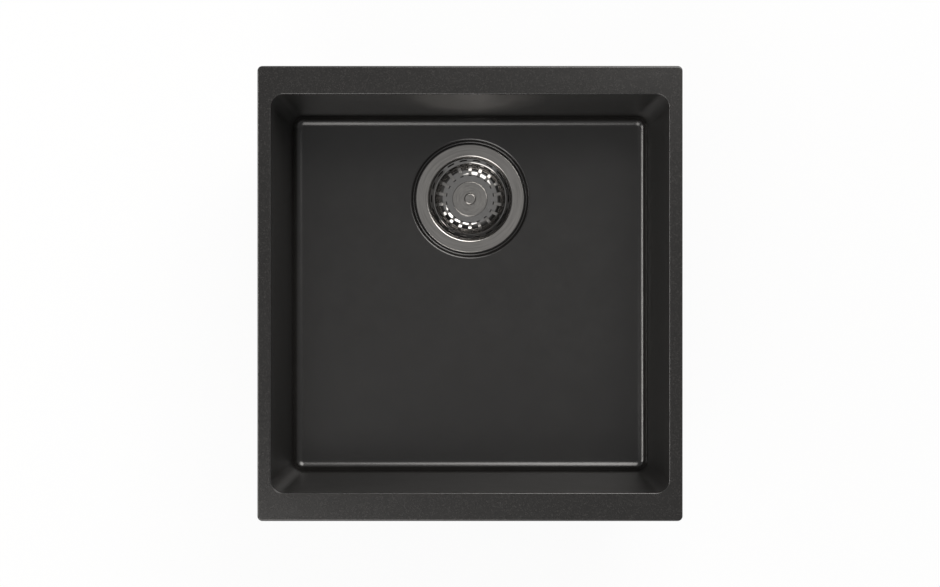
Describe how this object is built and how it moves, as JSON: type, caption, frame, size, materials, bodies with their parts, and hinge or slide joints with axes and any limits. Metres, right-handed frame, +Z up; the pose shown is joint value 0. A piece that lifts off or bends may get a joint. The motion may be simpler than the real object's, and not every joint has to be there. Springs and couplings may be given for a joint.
{
  "type": "kitchen sink",
  "caption": "Square single-bowl kitchen sink in dark granite composite with a flat rim, a basket strainer waste that lifts out and swing-out clips that clamp it to a worktop.",
  "frame": {"origin": "middle of the bowl opening, at the height of the rim's underside, the face that rests on the worktop", "axes": "+X to the right, +Y to the back, where the drain is, +Z up out of the bowl"},
  "size_m": [0.427, 0.457, 0.285],
  "materials": {
    "granite": "satin, finely speckled",
    "strainer_steel": "brushed in circles",
    "basket_steel": "polished steel",
    "screw_steel": "turned steel",
    "zinc_steel": "zinc plated",
    "brass": "turned",
    "black_rubber": "matt",
    "waste_plastic": "moulded"
  },
  "bodies": {
    "sink": {"sink_bowl": "granite", "strainer_flange": "strainer_steel", "flange_gasket": "black_rubber", "body_gasket": "black_rubber", "waste_body": "waste_plastic", "screw_insert": "brass", "clamp_screw": "screw_steel", "clip_inserts": "brass", "clip_fixing_screws": "zinc_steel", "clip_bracket_front_left": "zinc_steel", "clip_bracket_front_right": "zinc_steel", "clip_bracket_back_left": "zinc_steel", "clip_bracket_back_right": "zinc_steel"},
    "basket": {"basket_cup": "basket_steel", "basket_cap": "strainer_steel", "basket_knob": "basket_steel", "basket_stem": "screw_steel", "detent_ring": "black_rubber", "seal_plate": "basket_steel", "stopper_seal": "black_rubber", "stem_nut": "screw_steel"},
    "screw_front_left": {"clip_screw_front_left": "zinc_steel"},
    "claw_front_left": {"clip_claw_front_left": "zinc_steel"},
    "screw_front_right": {"clip_screw_front_right": "zinc_steel"},
    "claw_front_right": {"clip_claw_front_right": "zinc_steel"},
    "screw_back_left": {"clip_screw_back_left": "zinc_steel"},
    "claw_back_left": {"clip_claw_back_left": "zinc_steel"},
    "screw_back_right": {"clip_screw_back_right": "zinc_steel"},
    "claw_back_right": {"clip_claw_back_right": "zinc_steel"}
  },
  "joints": [
    {"name": "basket_lift", "type": "slide", "parent": "sink", "child": "basket", "axis": [0, 0, 1], "range_m": [0, 0.26]},
    {"name": "clip_swing_front_left", "type": "hinge", "parent": "sink", "child": "screw_front_left", "pos_m": [-0.12, -0.2156, -0.035], "axis": [0, 0, -1], "range_deg": [0, 90]},
    {"name": "clip_rise_front_left", "type": "slide", "parent": "screw_front_left", "child": "claw_front_left", "axis": [0, 0, 1], "range_m": [0, 0.024]},
    {"name": "clip_swing_front_right", "type": "hinge", "parent": "sink", "child": "screw_front_right", "pos_m": [0.12, -0.2156, -0.035], "axis": [0, 0, 1], "range_deg": [0, 90]},
    {"name": "clip_rise_front_right", "type": "slide", "parent": "screw_front_right", "child": "claw_front_right", "axis": [0, 0, 1], "range_m": [0, 0.024]},
    {"name": "clip_swing_back_left", "type": "hinge", "parent": "sink", "child": "screw_back_left", "pos_m": [-0.12, 0.2156, -0.035], "axis": [0, 0, 1], "range_deg": [0, 90]},
    {"name": "clip_rise_back_left", "type": "slide", "parent": "screw_back_left", "child": "claw_back_left", "axis": [0, 0, 1], "range_m": [0, 0.024]},
    {"name": "clip_swing_back_right", "type": "hinge", "parent": "sink", "child": "screw_back_right", "pos_m": [0.12, 0.2156, -0.035], "axis": [0, 0, -1], "range_deg": [0, 90]},
    {"name": "clip_rise_back_right", "type": "slide", "parent": "screw_back_right", "child": "claw_back_right", "axis": [0, 0, 1], "range_m": [0, 0.024]}
  ]
}
